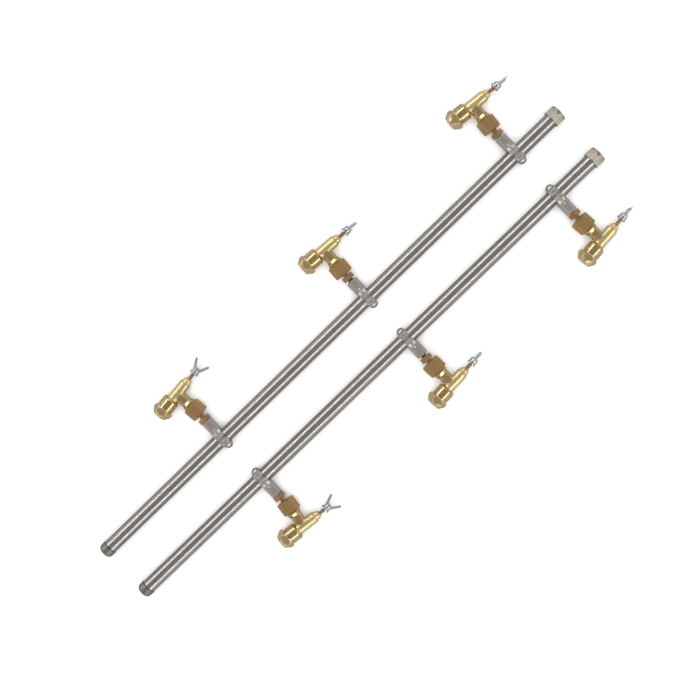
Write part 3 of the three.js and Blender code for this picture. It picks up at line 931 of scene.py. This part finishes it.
def add_floor():
    mesh = bpy.data.meshes.new("floor")
    half = STUDIO / 2
    corners = [(-half, -half, 0), (half, -half, 0), (half, half, 0), (-half, half, 0)]
    mesh.from_pydata(corners, [], [(0, 1, 2, 3)])
    material = bpy.data.materials.new("pale_floor")
    material.use_nodes = True
    shader = material.node_tree.nodes["Principled BSDF"]
    shader.inputs["Base Color"].default_value = (0.9, 0.9, 0.895, 1)
    shader.inputs["Roughness"].default_value = 1
    shader.inputs["Specular IOR Level"].default_value = 0
    mesh.materials.append(material)
    floor = bpy.data.objects.new("floor", mesh)
    bpy.context.scene.collection.objects.link(floor)
    floor.visible_glossy = False  # the metal mirrors the even studio instead


def add_light(name, place, size, power, angle=0):
    """A rectangular lamp that faces down, or is turned by an angle about +X."""
    data = bpy.data.lights.new(name, "AREA")
    data.shape = "RECTANGLE"
    data.size, data.size_y = size
    data.energy = power
    lamp = bpy.data.objects.new(name, data)
    lamp.location = place
    lamp.rotation_euler = (angle, 0, 0)
    bpy.context.scene.collection.objects.link(lamp)
    return lamp


def add_lights():
    """Two strip boxes along the rails, and an even lamp that the metal doesn't mirror."""
    reach = STRIP_DISTANCE * math.cos(STRIP_ELEVATION)
    height = STRIP_DISTANCE * math.sin(STRIP_ELEVATION)
    for side in (1, -1):
        angle = -side * (math.pi / 2 - STRIP_ELEVATION)
        strip = add_light(f"strip_{side + 1}", (0, side * reach, height), angle=angle, **STRIP)
        strip.visible_diffuse = False
    wash = add_light("wash", (0, 0, WASH_HEIGHT), **WASH)
    wash.visible_glossy = False
    wash.visible_camera = False


# What the metal mirrors from straight below to straight above: (place, grey).
SURROUNDINGS = ((0.0, 0.5), (0.28, 0.56), (0.44, 0.95), (0.56, 0.95), (0.72, 0.52), (1.0, 0.42))


def add_world():
    """A studio that is dim overhead and lighter at the sides."""
    world = bpy.data.worlds.new("studio")
    world.use_nodes = True
    tree = world.node_tree
    direction = node(tree, "TexCoord").outputs["Generated"]
    height = node(tree, "SeparateXYZ", {"Vector": direction}).outputs["Z"]
    share = mapped(tree, height, (-1, 1), (0, 1))
    ramp = node(tree, "ValToRGB", {"Fac": share})
    stops = ramp.color_ramp.elements
    for index, (place, grey) in enumerate(SURROUNDINGS):
        stop = stops[index] if index < 2 else stops.new(place)
        stop.position = place
        stop.color = (grey, grey, grey, 1)
    tree.links.new(ramp.outputs["Color"], tree.nodes["Background"].inputs["Color"])
    bpy.context.scene.world = world


CAMERA_HEIGHT = 1.8  # over the plane of the pipes' axes, along the view
CAMERA_LEAN = (4.44, 0.367)  # degrees towards +X and +Y
CAMERA_ROLL = 43.994  # degrees about the view
CAMERA_FIELD = 31.28  # degrees, side to side
CAMERA_AIM = (0.01043, 0.00392)  # on that plane


def add_camera():
    lean_x, lean_y = (math.radians(lean) for lean in CAMERA_LEAN)
    down = Vector(
        (-math.sin(lean_x), -math.sin(lean_y) * math.cos(lean_x), -math.cos(lean_x) * math.cos(lean_y))
    )
    aim = Vector((*CAMERA_AIM, rail_place("a").translation.z))
    along = (Vector((1, 0, 0)) - down * down.x).normalized()  # +X, square to the view
    across = -down.cross(along)
    roll = math.radians(CAMERA_ROLL)
    right = along * math.cos(roll) - across * math.sin(roll)
    data = bpy.data.cameras.new("camera")
    data.angle = math.radians(CAMERA_FIELD)
    camera = bpy.data.objects.new("camera", data)
    camera.matrix_world = axes_at(aim - down * CAMERA_HEIGHT, right, -down.cross(right))
    bpy.context.scene.collection.objects.link(camera)
    bpy.context.scene.camera = camera


add_floor()
add_lights()
add_world()
add_camera()
bpy.context.scene.view_settings.view_transform = "Standard"

bpy.context.view_layer.update()
